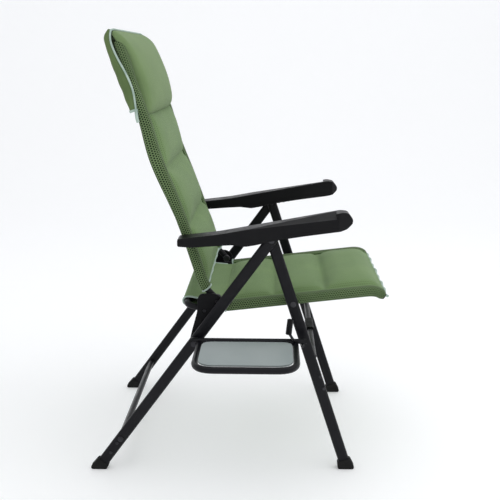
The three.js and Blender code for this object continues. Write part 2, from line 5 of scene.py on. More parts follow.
import bpy
import numpy as np
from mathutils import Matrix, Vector

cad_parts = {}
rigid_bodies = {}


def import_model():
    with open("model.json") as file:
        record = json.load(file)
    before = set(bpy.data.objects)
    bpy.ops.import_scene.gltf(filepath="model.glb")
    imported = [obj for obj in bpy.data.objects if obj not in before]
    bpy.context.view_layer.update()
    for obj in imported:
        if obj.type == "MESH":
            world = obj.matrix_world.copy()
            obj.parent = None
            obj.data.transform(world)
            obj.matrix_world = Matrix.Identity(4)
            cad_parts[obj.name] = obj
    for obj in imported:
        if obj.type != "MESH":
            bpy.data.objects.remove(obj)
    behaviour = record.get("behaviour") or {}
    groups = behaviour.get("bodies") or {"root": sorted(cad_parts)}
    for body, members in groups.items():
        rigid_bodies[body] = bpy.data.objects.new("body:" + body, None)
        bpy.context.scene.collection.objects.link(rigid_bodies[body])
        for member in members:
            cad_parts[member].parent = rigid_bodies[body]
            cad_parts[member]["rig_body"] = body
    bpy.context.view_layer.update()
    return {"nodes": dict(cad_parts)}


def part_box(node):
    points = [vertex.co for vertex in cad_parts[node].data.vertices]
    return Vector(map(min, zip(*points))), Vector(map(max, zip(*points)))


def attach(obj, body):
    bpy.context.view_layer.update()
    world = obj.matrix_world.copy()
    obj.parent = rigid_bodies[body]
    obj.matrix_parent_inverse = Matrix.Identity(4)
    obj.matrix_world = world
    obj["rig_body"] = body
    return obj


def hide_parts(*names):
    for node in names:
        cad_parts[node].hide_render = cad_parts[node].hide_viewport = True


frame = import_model()
nodes = frame["nodes"]


# ------------------------------------------------------------ where the chair stands

def middle(node):
    low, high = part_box(node)
    return (low + high) / 2


# The shapes below are drawn in the chair's own side view, in metres: x runs forward from the rear
# feet, y out to the chair's left from its middle, z up. The apex bolts say where that view lies.
APEX_X = 0.463
SHIFT_X = middle("apex_bolt_left").x - APEX_X
SHIFT_Y = middle("back_frame").y


def place(x, y, z):
    return (x + SHIFT_X, y + SHIFT_Y, z)


# ------------------------------------------------------------ sizes

FRAME_Y = 0.231            # the frame tubes' distance from the middle
FRAME_RADIUS = 0.009
BAND_IN = 0.206            # the mesh bands round the frame tubes
BAND_OUT = 0.2434
BAND_HALF = 0.0138         # half the band's height
PANEL_Y = 0.209            # half the quilted panels' width
PILLOW_Y = 0.192
SEAM_LIFT = 0.0065         # how far the seams lie in front of the tubes' middle line
CORD_RISE = 0.0035         # the seam cord's middle, in front of the seams
CORD_RADIUS = 0.0014
GRID = 0.007               # cloth grid
FLANK = 5.0                # how steeply a pillow falls at its sides: higher is steeper
ROUNDING = 2.8             # the same along the line, at its sewn channels
PRESSURE = 4.0             # cloth simulation
HEAD_PRESSURE = 3.0
SWELL_CAP = 0.004          # the furthest that the simulation may move a point

BACK_POINTS = [
    (0.319, 0.473),
    (0.286, 0.511),
    (0.266, 0.570),
    (0.244, 0.640),
    (0.207, 0.745),
    (0.167, 0.850),
    (0.142, 0.940),
    (0.110, 1.035),
    (0.088, 1.112),
    (0.076, 1.146),
]
SEAT_NOSE = (0.764, 0.485)
SEAT_FRONT = (0.742, 0.50035)
SEAT_HINGE = (0.286, 0.447)


# ------------------------------------------------------------ lines in the side view

def catmull(points, steps=24):
    """A smooth line through points, with centripetal spacing."""
    pts = [np.array(p, float) for p in points]
    pts = [2 * pts[0] - pts[1]] + pts + [2 * pts[-1] - pts[-2]]
    out = []
    for i in range(1, len(pts) - 2):
        p0, p1, p2, p3 = pts[i - 1:i + 3]
        t0 = 0.0
        t1 = t0 + np.linalg.norm(p1 - p0) ** 0.5
        t2 = t1 + np.linalg.norm(p2 - p1) ** 0.5
        t3 = t2 + np.linalg.norm(p3 - p2) ** 0.5
        for t in np.linspace(t1, t2, steps, endpoint=False):
            a1 = (t1 - t) / (t1 - t0) * p0 + (t - t0) / (t1 - t0) * p1
            a2 = (t2 - t) / (t2 - t1) * p1 + (t - t1) / (t2 - t1) * p2
            a3 = (t3 - t) / (t3 - t2) * p2 + (t - t2) / (t3 - t2) * p3
            b1 = (t2 - t) / (t2 - t0) * a1 + (t - t0) / (t2 - t0) * a2
            b2 = (t3 - t) / (t3 - t1) * a2 + (t - t1) / (t3 - t1) * a3
            out.append((t2 - t) / (t2 - t1) * b1 + (t - t1) / (t2 - t1) * b2)
    out.append(pts[-2])
    return np.array(out)


def rounded(points, reach, steps=8):
    """Straight lines with each corner rounded over a length of reach on both sides."""
    pts = [np.array(p, float) for p in points]
    out = [pts[0]]
    for a, b, c in zip(pts, pts[1:], pts[2:]):
        enter = b + (a - b) / np.linalg.norm(a - b) * min(reach, 0.5 * np.linalg.norm(a - b))
        leave = b + (c - b) / np.linalg.norm(c - b) * min(reach, 0.5 * np.linalg.norm(c - b))
        for t in np.linspace(0, 1, steps):
            out.append((1 - t) ** 2 * enter + 2 * t * (1 - t) * b + t * t * leave)
    out.append(pts[-1])
    return np.array(out)


class Line:
    """A side-view line that is read by the distance along it."""

    def __init__(self, points):
        self.points = np.array(points, float)
        steps = np.linalg.norm(np.diff(self.points, axis=0), axis=1)
        self.reach = np.concatenate([[0], np.cumsum(steps)])
        self.length = self.reach[-1]

    def at(self, s):
        return np.array([np.interp(s, self.reach, self.points[:, i]) for i in (0, 1)])

    def normal(self, s, span=0.006):
        """To the sitter's side of the line."""
        d = self.at(min(s + span, self.length)) - self.at(max(s - span, 0))
        d /= np.linalg.norm(d)
        return np.array([d[1], -d[0]])

    def off(self, s, h):
        return self.at(s) + self.normal(s) * h

    def where(self, axis, value):
        """The distance along the line at which one coordinate reaches a value."""
        order = np.argsort(self.points[:, axis])
        return float(np.interp(value, self.points[order, axis], self.reach[order]))


back_line = Line(catmull(BACK_POINTS))
seat_line = Line(rounded([SEAT_NOSE, SEAT_FRONT, SEAT_HINGE], 0.026))


# ------------------------------------------------------------ materials

def socket(shader, name, value):
    shader.inputs[name].default_value = value


class Nodes:
    """A material's node tree, with short calls for the nodes that are used here."""

    def __init__(self, name, slot):
        self.material = bpy.data.materials.new(name)
        self.material.use_nodes = True
        self.slot = slot
        self.tree = self.material.node_tree
        self.shader = self.tree.nodes["Principled BSDF"]

    def link(self, a, b):
        self.tree.links.new(a, b)

    def add(self, kind, **values):
        node = self.tree.nodes.new(kind)
        for key, value in values.items():
            setattr(node, key, value)
        return node

    def coordinates(self, kind):
        return self.add("ShaderNodeTexCoord").outputs[kind]

    def noise(self, source, scale, detail=3.0, roughness=0.55):
        node = self.add("ShaderNodeTexNoise")
        node.inputs["Scale"].default_value = scale
        node.inputs["Detail"].default_value = detail
        node.inputs["Roughness"].default_value = roughness
        self.link(source, node.inputs["Vector"])
        return node.outputs["Fac"]

    def math(self, operation, a, b=None, c=None):
        node = self.add("ShaderNodeMath", operation=operation)
        for i, value in enumerate((a, b, c)):
            if value is None:
                continue
            if isinstance(value, (int, float)):
                node.inputs[i].default_value = value
            else:
                self.link(value, node.inputs[i])
        return node.outputs[0]

    def ramp(self, value, low, high, to_low=0.0, to_high=1.0):
        node = self.add("ShaderNodeMapRange")
        node.interpolation_type = "SMOOTHSTEP"
        limits = {"From Min": low, "From Max": high, "To Min": to_low, "To Max": to_high}
        for name, number in limits.items():
            node.inputs[name].default_value = number
        self.link(value, node.inputs["Value"])
        return node.outputs["Result"]

    def mix(self, factor, a, b):
        node = self.add("ShaderNodeMix", data_type="RGBA")
        if isinstance(factor, (int, float)):
            node.inputs["Factor"].default_value = factor
        else:
            self.link(factor, node.inputs["Factor"])
        for name, value in (("A", a), ("B", b)):
            target = [i for i in node.inputs if i.name == name and i.type == "RGBA"][0]
            if isinstance(value, tuple):
                target.default_value = (*value, 1)
            else:
                self.link(value, target)
        return [o for o in node.outputs if o.type == "RGBA"][0]

    def bump(self, height, distance, strength=1.0, normal=None):
        node = self.add("ShaderNodeBump")
        node.inputs["Distance"].default_value = distance
        node.inputs["Strength"].default_value = strength
        self.link(height, node.inputs["Height"])
        if normal is not None:
            self.link(normal, node.inputs["Normal"])
        return node.outputs["Normal"]

    def hexagons(self, source, pitch):
        """Peaks on a triangular lattice: the eyelets of a knitted mesh."""
        waves = []
        for degrees in (0, 60, 120):
            turn = math.radians(degrees)
            k = 2 * math.pi / (pitch * math.sqrt(3) / 2)
            node = self.add("ShaderNodeVectorMath", operation="DOT_PRODUCT")
            node.inputs[1].default_value = (k * math.cos(turn), k * math.sin(turn), 0)
            self.link(source, node.inputs[0])
            waves.append(self.math("COSINE", node.outputs["Value"]))
        return self.math("ADD", self.math("ADD", waves[0], waves[1]), waves[2])

    def surface(self, color=None, roughness=None, normal=None, **constants):
        if color is not None:
            self.link(color, self.shader.inputs["Base Color"])
        if roughness is not None:
            self.link(roughness, self.shader.inputs["Roughness"])
        if normal is not None:
            self.link(normal, self.shader.inputs["Normal"])
        for name, value in constants.items():
            socket(self.shader, name.replace("_", " ").title().replace("Ior", "IOR"), value)
        return self


def mesh_cloth():
    """Open knitted mesh of the edge bands: eyelets on a honeycomb."""
    n = Nodes("mesh_cloth", "green_cloth")
    uv = n.coordinates("UV")
    eyelets = n.hexagons(uv, 0.0064)
    hole = n.ramp(eyelets, -0.7, 1.0)
    tone = n.ramp(n.noise(uv, 14), 0.3, 0.7)
    thread = n.mix(tone, (0.128, 0.196, 0.084), (0.160, 0.238, 0.105))
    color = n.mix(hole, thread, (0.006, 0.012, 0.005))
    normal = n.bump(n.math("MULTIPLY", hole, -1.0), 0.0012)
    return n.surface(color, normal=normal, roughness=n.ramp(hole, 0, 1, 0.75, 0.95),
                     sheen_weight=0.05, sheen_roughness=0.5, specular_ior_level=0.15)


def quilt_cloth():
    """Spacer mesh of the pillows: fine eyelets, a soft nap and slow changes of tone."""
    n = Nodes("quilt_cloth", "green_cloth")
    uv = n.coordinates("UV")
    eyelets = n.hexagons(uv, 0.0060)
    hole = n.ramp(eyelets, 0.2, 1.9)
    tone = n.ramp(n.noise(uv, 9), 0.3, 0.7)
    thread = n.mix(tone, (0.165, 0.255, 0.108), (0.195, 0.292, 0.128))
    color = n.mix(n.math("MULTIPLY", hole, 0.5), thread, (0.050, 0.085, 0.034))
    crease = n.noise(uv, 55, 4)
    normal = n.bump(crease, 0.0012, 0.5, n.bump(n.math("MULTIPLY", hole, -1.0), 0.0006))
    return n.surface(color, normal=normal, roughness=n.ramp(tone, 0, 1, 0.78, 0.88),
                     sheen_weight=0.10, sheen_roughness=0.45, specular_ior_level=0.18)


def smooth_cloth(name, light, dark):
    """Plain woven cloth of the head panel and the hood."""
    n = Nodes(name, "green_cloth")
    uv = n.coordinates("UV")
    warp = n.add("ShaderNodeTexWave", wave_type="BANDS", bands_direction="X")
    weft = n.add("ShaderNodeTexWave", wave_type="BANDS", bands_direction="Y")
    for wave in (warp, weft):
        wave.inputs["Scale"].default_value = 190.0
        n.link(uv, wave.inputs["Vector"])
    weave = n.math("MAXIMUM", warp.outputs["Fac"], weft.outputs["Fac"])
    tone = n.ramp(n.noise(uv, 11), 0.3, 0.7)
    base = n.mix(tone, dark, light)
    color = n.mix(n.math("MULTIPLY", weave, 0.22), base, tuple(c * 0.45 for c in dark))
    normal = n.bump(n.noise(uv, 40, 4), 0.0010, 0.45, n.bump(weave, 0.0003, 0.6))
    return n.surface(color, normal=normal, roughness=n.ramp(tone, 0, 1, 0.75, 0.85),
                     sheen_weight=0.08, sheen_roughness=0.45, specular_ior_level=0.18)


def binding_tape():
    """Pale ribbed tape and piping."""
    n = Nodes("binding_tape", "green_cloth")
    place_in = n.coordinates("Object")
    ribs = n.add("ShaderNodeTexWave", wave_type="BANDS", bands_direction="DIAGONAL")
    ribs.inputs["Scale"].default_value = 160.0
    n.link(place_in, ribs.inputs["Vector"])
    tone = n.ramp(n.noise(place_in, 60), 0.3, 0.7)
    base = n.mix(tone, (0.36, 0.47, 0.41), (0.50, 0.61, 0.54))
    color = n.mix(n.math("MULTIPLY", ribs.outputs["Fac"], 0.25), base, (0.20, 0.28, 0.23))
    return n.surface(color, normal=n.bump(ribs.outputs["Fac"], 0.0004, 0.7),
                     roughness=n.ramp(tone, 0, 1, 0.6, 0.75), specular_ior_level=0.3)


def coated(name, slot, dark, light, rough, grain, grain_size, metallic=0.0, specular=0.35):
    """Powder coat or moulded plastic: fine grain, worn and dusty in patches."""
    n = Nodes(name, slot)
    at = n.coordinates("Object")
    tone = n.ramp(n.noise(at, 7, 5), 0.35, 0.75)
    color = n.mix(tone, dark, light)
    fine = n.noise(at, grain_size, 2)
    smudge = n.noise(at, 22, 6, 0.65)
    roughness = n.ramp(smudge, 0.3, 0.75, rough - 0.06, rough + 0.10)
    return n.surface(color, roughness, n.bump(fine, grain, 0.6),
                     metallic=metallic, specular_ior_level=specular)


def tray_cloth():
    """The tray's grey board, with a fine linen grain."""
    n = Nodes("tray_board", "grey_panel")
    at = n.coordinates("Object")
    warp = n.add("ShaderNodeTexWave", wave_type="BANDS", bands_direction="X")
    weft = n.add("ShaderNodeTexWave", wave_type="BANDS", bands_direction="Y")
    for wave in (warp, weft):
        wave.inputs["Scale"].default_value = 120.0
        n.link(at, wave.inputs["Vector"])
    weave = n.math("MAXIMUM", warp.outputs["Fac"], weft.outputs["Fac"])
    tone = n.ramp(n.noise(at, 5, 4), 0.3, 0.7)
    base = n.mix(tone, (0.30, 0.345, 0.345), (0.36, 0.40, 0.40))
    color = n.mix(n.math("MULTIPLY", weave, 0.18), base, (0.16, 0.19, 0.19))
    return n.surface(color, n.ramp(tone, 0, 1, 0.42, 0.55), n.bump(weave, 0.0003, 0.5),
                     specular_ior_level=0.4)


def seam_cord():
    """Green cord sewn into the seams."""
    n = Nodes("seam_cord", "green_cloth")
    at = n.coordinates("Object")
    twist = n.add("ShaderNodeTexWave", wave_type="BANDS", bands_direction="DIAGONAL")
    twist.inputs["Scale"].default_value = 220.0
    n.link(at, twist.inputs["Vector"])
    color = n.mix(twist.outputs["Fac"], (0.115, 0.185, 0.085), (0.190, 0.275, 0.140))
    return n.surface(color, n.ramp(n.noise(at, 40), 0.3, 0.7, 0.72, 0.85),
                     n.bump(twist.outputs["Fac"], 0.0003, 0.6), specular_ior_level=0.18)


MESH = mesh_cloth()
CORD = seam_cord()
QUILT = quilt_cloth()
HEAD = smooth_cloth("head_cloth", (0.200, 0.290, 0.130), (0.170, 0.255, 0.108))
HOOD = smooth_cloth("hood_cloth", (0.135, 0.200, 0.078), (0.108, 0.165, 0.062))
TAPE = binding_tape()
PAINT = coated("black_paint", "black_paint", (0.004, 0.004, 0.006), (0.007, 0.007, 0.009), 0.36,
               0.0002, 900, specular=0.18)
SATIN = coated("satin_plastic", "satin_plastic", (0.003, 0.003, 0.004), (0.006, 0.006, 0.007), 0.38,
               0.0002, 700, specular=0.15)
MATTE = coated("matte_plastic", "matte_plastic", (0.003, 0.003, 0.004), (0.006, 0.006, 0.007), 0.50,
               0.0003, 500, specular=0.14)
RUBBER = coated("foot_rubber", "foot_rubber", (0.008, 0.008, 0.008), (0.016, 0.016, 0.016), 0.70,
                0.0003, 600, specular=0.16)
STEEL = coated("dark_steel", "dark_steel", (0.030, 0.030, 0.034), (0.060, 0.060, 0.065), 0.38,
               0.0002, 500, metallic=0.8)
BOARD = tray_cloth()


# ------------------------------------------------------------ making pieces

def mesh_piece(name, points, faces, uvs, finish, body):
    """A smooth mesh from points in the side view's frame, with one uv for each point."""
    mesh = bpy.data.meshes.new(name)
    mesh.from_pydata([place(*p) for p in points], [], faces)
    layer = mesh.uv_layers.new(name="uv")
    for loop in mesh.loops:
        layer.data[loop.index].uv = uvs[loop.vertex_index]
    mesh.shade_smooth()
    mesh.validate()
    piece = bpy.data.objects.new(name, mesh)
    bpy.context.scene.collection.objects.link(piece)
    piece.data.materials.append(finish.material)
    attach(piece, body)
    return piece


def subdivide(piece, levels=1):
    modifier = piece.modifiers.new("subdivision", "SUBSURF")
    modifier.levels = levels
    modifier.render_levels = levels


def thicken(piece, thickness, offset=0.0):
    modifier = piece.modifiers.new("thickness", "SOLIDIFY")
    modifier.thickness = thickness
    modifier.offset = offset


def tube(name, points, radius, finish, body, closed=False, smooth=True):
    """A round tube, rod or piping along points in the side view's frame."""
    curve = bpy.data.curves.new(name, "CURVE")
    curve.dimensions = "3D"
    curve.bevel_depth = radius
    curve.bevel_resolution = 4
    curve.use_fill_caps = True
    curve.resolution_u = 6
    spline = curve.splines.new("NURBS" if smooth else "POLY")
    spline.points.add(len(points) - 1)
    for i, point in enumerate(points):
        spline.points[i].co = (*place(*point), 1)
    spline.use_cyclic_u = closed
    if smooth:
        spline.order_u = 3
        spline.use_endpoint_u = not closed
    piece = bpy.data.objects.new(name, curve)
    bpy.context.scene.collection.objects.link(piece)
    piece.data.materials.append(finish.material)
    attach(piece, body)
    return piece


def grid_faces(rows, columns, start=0, flip=False):
    faces = []
    for r in range(rows - 1):
        for c in range(columns - 1):
            a = start + r * columns + c
            face = (a, a + 1, a + columns + 1, a + columns)
            faces.append(face[::-1] if flip else face)
    return faces


def rim(rows, columns):
    """The grid's border points, in order round it."""
    top = [c for c in range(columns)]
    right = [r * columns + columns - 1 for r in range(1, rows)]
    bottom = [(rows - 1) * columns + c for c in range(columns - 2, -1, -1)]
    left = [r * columns for r in range(rows - 2, 0, -1)]
    return top + right + bottom + left


def slab(name, front, rear, uv, rows, columns, finish, body):
    """A closed body between two grids of points that share their layout."""
    count = rows * columns
    faces = grid_faces(rows, columns) + grid_faces(rows, columns, count, flip=True)
    border = rim(rows, columns)
    for a, b in zip(border, border[1:] + border[:1]):
        faces.append((b, a, a + count, b + count))
    return mesh_piece(name, list(front) + list(rear), faces, list(uv) + list(uv), finish, body)


def crown(a, power=2.6):
    """From 0 at both ends of a pillow to 1 over its middle."""
    return max(0.0, 1 - abs(2 * a - 1) ** power) ** (1 / power)


# ------------------------------------------------------------ cloth

def inflate(piece, pinned, pressure):
    """Blows a closed cloth up between its sewn points, and keeps the result as the mesh."""
    scene = bpy.context.scene
    rest = np.array([v.co for v in piece.data.vertices])
    group = piece.vertex_groups.new(name="sewn")
    group.add([int(i) for i in pinned], 1.0, "REPLACE")
    cloth = piece.modifiers.new("cloth", "CLOTH")
    cloth.settings.vertex_group_mass = "sewn"
    cloth.settings.use_pressure = True
    cloth.settings.uniform_pressure_force = pressure
    cloth.settings.effector_weights.gravity = 0
    cloth.settings.tension_stiffness = 12
    cloth.settings.compression_stiffness = 12
    cloth.settings.bending_stiffness = 1.2
    cloth.settings.quality = 6
    cloth.collision_settings.use_collision = False
    for number in range(1, 21):
        scene.frame_set(number)
    shown = piece.evaluated_get(bpy.context.evaluated_depsgraph_get())
    moved = np.array([v.co for v in shown.data.vertices])
    piece.modifiers.remove(cloth)
    scene.frame_set(1)
    step = moved - rest
    size = np.linalg.norm(step, axis=1, keepdims=True)
    step *= np.minimum(1, SWELL_CAP / np.maximum(size, 1e-9))
    piece.data.vertices.foreach_set("co", (rest + step).astype(np.float32).ravel())
    piece.data.update()
    piece.vertex_groups.clear()


def quilted_panel(name, line, start, end, pillows, rear, body, edge_lift):
    """A closed padded panel along a line: crowned pillows between sewn channels.

    pillows are the stuffed stretches of the line, as start, end and height; the rest is a flat
    sewn strip."""
    rows = int((end - start) / GRID) + 1
    columns = int(2 * PANEL_Y / GRID) + 1
    front, back, uv, sewn = [], [], [], []
    for s in np.linspace(start, end, rows):
        inside = [p for p in pillows if p[0] < s < p[1]]
        height = inside[0][2] if inside else 0.0
        lift = edge_lift(s)
        for y in np.linspace(-PANEL_Y, PANEL_Y, columns):
            swell = 0.0
            if inside and abs(y) < PILLOW_Y:
                along = crown((s - inside[0][0]) / (inside[0][1] - inside[0][0]), ROUNDING)
                across = crown((y + PILLOW_Y) / (2 * PILLOW_Y), FLANK)
                swell = along * across
            else:
                sewn.append(len(front))
            x, z = line.off(s, lift + height * swell)
            front.append((x, y, z))
            x, z = line.off(s, -rear - 0.3 * height * swell)
            back.append((x, y, z))
            uv.append((y, s))
    piece = slab(name, front, back, uv, rows, columns, QUILT, body)
    count = rows * columns
    inflate(piece, sewn + [i + count for i in sewn], PRESSURE)
    subdivide(piece)
    return piece


def even(s):
    return 1.0


def band(name, line, start, end, side, body, taper=(), rear=even):
    """The padded mesh band that wraps one frame tube, swept along the line.

    rear says how much deeper the band is behind the tube than in front of it."""
    h = BAND_HALF
    section = [
        (BAND_IN, 0.60 * h), (BAND_IN + 0.006, 0.92 * h), (0.226, h), (0.2365, 0.92 * h),
        (0.2420, 0.62 * h), (BAND_OUT, 0.0), (0.2420, -0.62 * h), (0.2365, -0.92 * h),
        (0.226, -h), (BAND_IN + 0.006, -0.92 * h), (BAND_IN, -0.60 * h),
    ]
    girth = [0.0]
    for (y0, h0), (y1, h1) in zip(section, section[1:] + section[:1]):
        girth.append(girth[-1] + math.hypot(y1 - y0, h1 - h0))
    rows = int((end - start) / 0.008) + 1
    points, uv = [], []
    columns = len(section)
    for s in np.linspace(start, end, rows):
        close = min([1.0] + [abs(s - t) / 0.014 for t in taper])
        shrink = 0.72 + 0.28 * math.sqrt(1 - (1 - close) ** 2)
        for (y, lift), u in zip(section, girth):
            x, z = line.off(s, lift * shrink * (rear(s) if lift < 0 else 1))
            points.append((x, side * y, z))
            uv.append((u, s))
    faces = []
    for r in range(rows - 1):
        for c in range(columns):
            a = r * columns + c
            b = r * columns + (c + 1) % columns
            face = (a, b, b + columns, a + columns)
            faces.append(face if side > 0 else face[::-1])
    first = tuple(range(columns))
    last = tuple((rows - 1) * columns + c for c in range(columns))
    faces.append(first[::-1] if side > 0 else first)
    faces.append(last if side > 0 else last[::-1])
    piece = mesh_piece(name, points, faces, uv, MESH, body)
    subdivide(piece, 2)
    return piece


def bead(name, line, start, end, y, lift, radius, finish, body):
    """A thin seam bead or piping that follows the line."""
    points = []
    for s in np.linspace(start, end, int((end - start) / 0.012) + 2):
        x, z = line.off(s, lift)
        points.append((x, y, z))
    return tube(name, points, radius, finish, body)


def end_binding(name, line, s, side, body):
    """Pale tape round the cut end of a mesh band."""
    h = BAND_HALF
    ring = [
        (BAND_IN, 0), (BAND_IN + 0.002, 0.85 * h), (0.222, 1.02 * h), (0.234, 0.94 * h),
        (0.2395, 0.45 * h), (0.2395, -0.45 * h), (0.234, -0.94 * h), (0.222, -1.02 * h),
        (BAND_IN + 0.002, -0.85 * h),
    ]
    points = []
    for y, lift in ring:
        x, z = line.off(s, lift)
        points.append((x, side * y, z))
    return tube(name, points, 0.0023, TAPE, body, closed=True)


# ------------------------------------------------------------ back cover

BACK_LOW = back_line.where(1, 0.506)
SEAM_LOW = back_line.where(1, 0.664)
SEAM_MID = back_line.where(1, 0.814)
SEAM_HIGH = back_line.where(1, 0.962)
CHANNEL = 0.005             # half the width of a sewn channel


def flat_seam(s):
    return SEAM_LIFT


def fuller(s):
    """How much deeper the back's bands are behind the tube, most of all at shoulder height."""
    low, high = back_line.where(1, 0.70), back_line.where(1, 1.00)
    return 1 + 0.55 * math.sin(math.pi * min(1, max(0, (s - low) / (high - low))))


def back_cover():
    pillows = [
        (BACK_LOW + 0.016, SEAM_LOW - CHANNEL, 0.019),
        (SEAM_LOW + CHANNEL, SEAM_MID - CHANNEL, 0.016),
        (SEAM_MID + CHANNEL, SEAM_HIGH - 0.002, 0.018),
    ]
    panel = quilted_panel("back_panel", back_line, BACK_LOW, SEAM_HIGH + 0.012, pillows, 0.006, "back",
                          flat_seam)
    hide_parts("back_pad")
    top = back_line.length - 0.002
    for side, word in ((1, "left"), (-1, "right")):
        band(f"back_band_{word}", back_line, BACK_LOW - 0.004, top, side, "back", taper=(top,),
             rear=fuller)
        bead(f"back_seam_{word}", back_line, BACK_LOW, SEAM_HIGH + 0.02, side * PANEL_Y,
             SEAM_LIFT + CORD_RISE, CORD_RADIUS, CORD, "back")
        end_binding(f"back_binding_{word}", back_line, BACK_LOW - 0.004, side, "back")
    hem = []
    for y in np.linspace(-0.222, 0.222, 24):
        x, z = back_line.off(BACK_LOW - 0.001, SEAM_LIFT - 0.002 + 0.0015 * math.sin(y * 70))
        hem.append((x, y, z))
    tube("back_hem", hem, 0.0030, TAPE, "back")


# The head cushion's front, in the side view: over the middle and at its side edges, and the
# line of its rear.
HEAD_MIDDLE = [(0.147, 0.957), (0.160, 0.966), (0.166, 0.985), (0.163, 1.012), (0.153, 1.052),
               (0.134, 1.098), (0.110, 1.139), (0.087, 1.162), (0.066, 1.170)]
HEAD_EDGE = [(0.140, 0.958), (0.144, 0.968), (0.144, 0.980), (0.140, 1.005), (0.131, 1.044),
             (0.119, 1.082), (0.109, 1.112), (0.097, 1.142), (0.070, 1.168)]
HEAD_REAR = [(0.130, 0.966), (0.124, 0.985), (0.116, 1.012), (0.106, 1.044), (0.096, 1.080),
             (0.086, 1.110), (0.075, 1.140), (0.062, 1.160)]


def head_cushion():
    rows, columns = 34, 61
    middle_line, edge_line, rear_line = (Line(catmull(p)) for p in (HEAD_MIDDLE, HEAD_EDGE, HEAD_REAR))
    front, rear, uv, sewn = [], [], [], []
    for i, t in enumerate(np.linspace(0, 1, rows)):
        mid, edge, back = (line.at(t * line.length) for line in (middle_line, edge_line, rear_line))
        half = 0.214 + 0.029 * min(1, max(0, (t - 0.55) / 0.3)) ** 1.5
        for j, y in enumerate(np.linspace(-half, half, columns)):
            swell = crown((y + half) / (2 * half), 2.8)
            x, z = edge + (mid - edge) * swell
            front.append((x, y, z))
            rear.append((back[0], y, back[1]))
            uv.append((y, t * middle_line.length))
            if i in (0, rows - 1) or j in (0, columns - 1):
                sewn.append(i * columns + j)
    piece = slab("head_cushion", front, rear, uv, rows, columns, HEAD, "back")
    count = rows * columns
    pinned = sewn + list(range(count, 2 * count))
    inflate(piece, pinned, HEAD_PRESSURE)
    subdivide(piece)


# The hood that is pulled over the top of the back: the edge of its sides, and its rear.
HOOD_EDGE = [(0.120, 0.972), (0.118, 0.992), (0.113, 1.024), (0.098, 1.062), (0.078, 1.100),
             (0.064, 1.134), (0.061, 1.152), (0.064, 1.169)]
HOOD_REAR = [(0.103, 0.966), (0.096, 0.986), (0.084, 1.018), (0.070, 1.056), (0.057, 1.094),
             (0.047, 1.130), (0.043, 1.152), (0.056, 1.171)]
HOOD_SECTION = [(0.0, 0.2440), (0.25, 0.2462), (0.55, 0.2468), (0.80, 0.2440), (0.94, 0.2370),
                (1.01, 0.2240), (1.06, 0.1950), (1.12, 0.1400), (1.16, 0.0700), (1.17, 0.0)]


def hood():
    edge_line, rear_line = Line(catmull(HOOD_EDGE)), Line(catmull(HOOD_REAR))
    across = [(k, -y) for k, y in HOOD_SECTION] + [(k, y) for k, y in HOOD_SECTION[-2::-1]]
    rows = 26
    points, uv = [], []
    for t in np.linspace(0, 1, rows):
        edge, rear = edge_line.at(t * edge_line.length), rear_line.at(t * rear_line.length)
        for k, y in across:
            ripple = 0.0012 * math.sin(31 * t + 40 * y) * (1 - t) * min(1, k)
            x, z = edge + (rear - edge) * k
            points.append((x - ripple, y, z))
            uv.append((y, t * edge_line.length))
    piece = mesh_piece("head_hood", points, grid_faces(rows, len(across), flip=True), uv, HOOD, "back")
    thicken(piece, 0.0016)
    subdivide(piece, 2)
    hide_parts("head_pillow")
    sides = np.linspace(0, 1, 22)
    for side, word in ((1, "left"), (-1, "right")):
        path = [(*edge_line.at(t * edge_line.length), t) for t in sides]
        tube(f"hood_piping_{word}", [(x, side * 0.2452, z) for x, z, t in path], 0.0026, TAPE, "back")
        tail = [(0.120, 0.976), (0.1205, 0.962), (0.122, 0.948), (0.1245, 0.942)]
        tube(f"hood_tail_{word}", [(x, side * 0.2440, z) for x, z in tail], 0.0042, TAPE, "back")
    top = [(0.0635 + 0.0008 * math.sin(y * 60), y, 1.1705 - 0.10 * max(0, abs(y) - 0.21))
           for y in np.linspace(-0.243, 0.243, 30)]
    tube("hood_top_piping", top, 0.0028, TAPE, "back")
    hem_rows = []
    for z_off in (0.0, 0.007):
        t = z_off / edge_line.length
        edge, rear = edge_line.at(z_off), rear_line.at(t * rear_line.length)
        for k, y in across:
            x, z = edge + (rear - edge) * (k + 0.03)
            hem_rows.append((x, y * 1.004, z - 0.002))
    hem_uv = [(p[1], p[2]) for p in hem_rows]
    hem = mesh_piece("hood_hem", hem_rows, grid_faces(2, len(across), flip=True), hem_uv, TAPE, "back")
    thicken(hem, 0.0022)
    subdivide(hem, 2)


# ------------------------------------------------------------ seat cover

def seat_s(x):
    return float(np.interp(x, seat_line.points[::-1, 0], seat_line.reach[::-1]))


def nose(s):
    """The seams' lift, a little higher at the seat's rolled front edge."""
    return SEAM_LIFT + 0.0035 * max(0, 1 - s / 0.03)


def seat_cover():
    pillows = [
        (seat_s(0.748), seat_s(0.616), 0.018),
        (seat_s(0.604), seat_s(0.477), 0.017),
        (seat_s(0.466), seat_s(0.346), 0.015),
    ]
    panel = quilted_panel("seat_panel", seat_line, 0.0, seat_s(0.338), pillows, 0.0085, "seat", nose)
    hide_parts("seat_pad")
    for side, word in ((1, "left"), (-1, "right")):
        band(f"seat_band_{word}", seat_line, 0.0, seat_s(0.340), side, "seat", taper=(0.0,))
        bead(f"seat_seam_{word}", seat_line, 0.006, seat_s(0.342), side * PANEL_Y,
             SEAM_LIFT + CORD_RISE, CORD_RADIUS, CORD, "seat")
        end_binding(f"seat_binding_{word}", seat_line, seat_s(0.340), side, "seat")
    front = []
    for y in np.linspace(-0.243, 0.243, 60):
        wave = 0.0022 * math.sin(95 * y) + 0.0012 * math.sin(41 * y + 1)
        x, z = seat_line.off(0.0, 0.002 + wave)
        front.append((x + 0.0045, y, z + 0.0020))
    tube("seat_front_piping", front, 0.0035, TAPE, "seat")


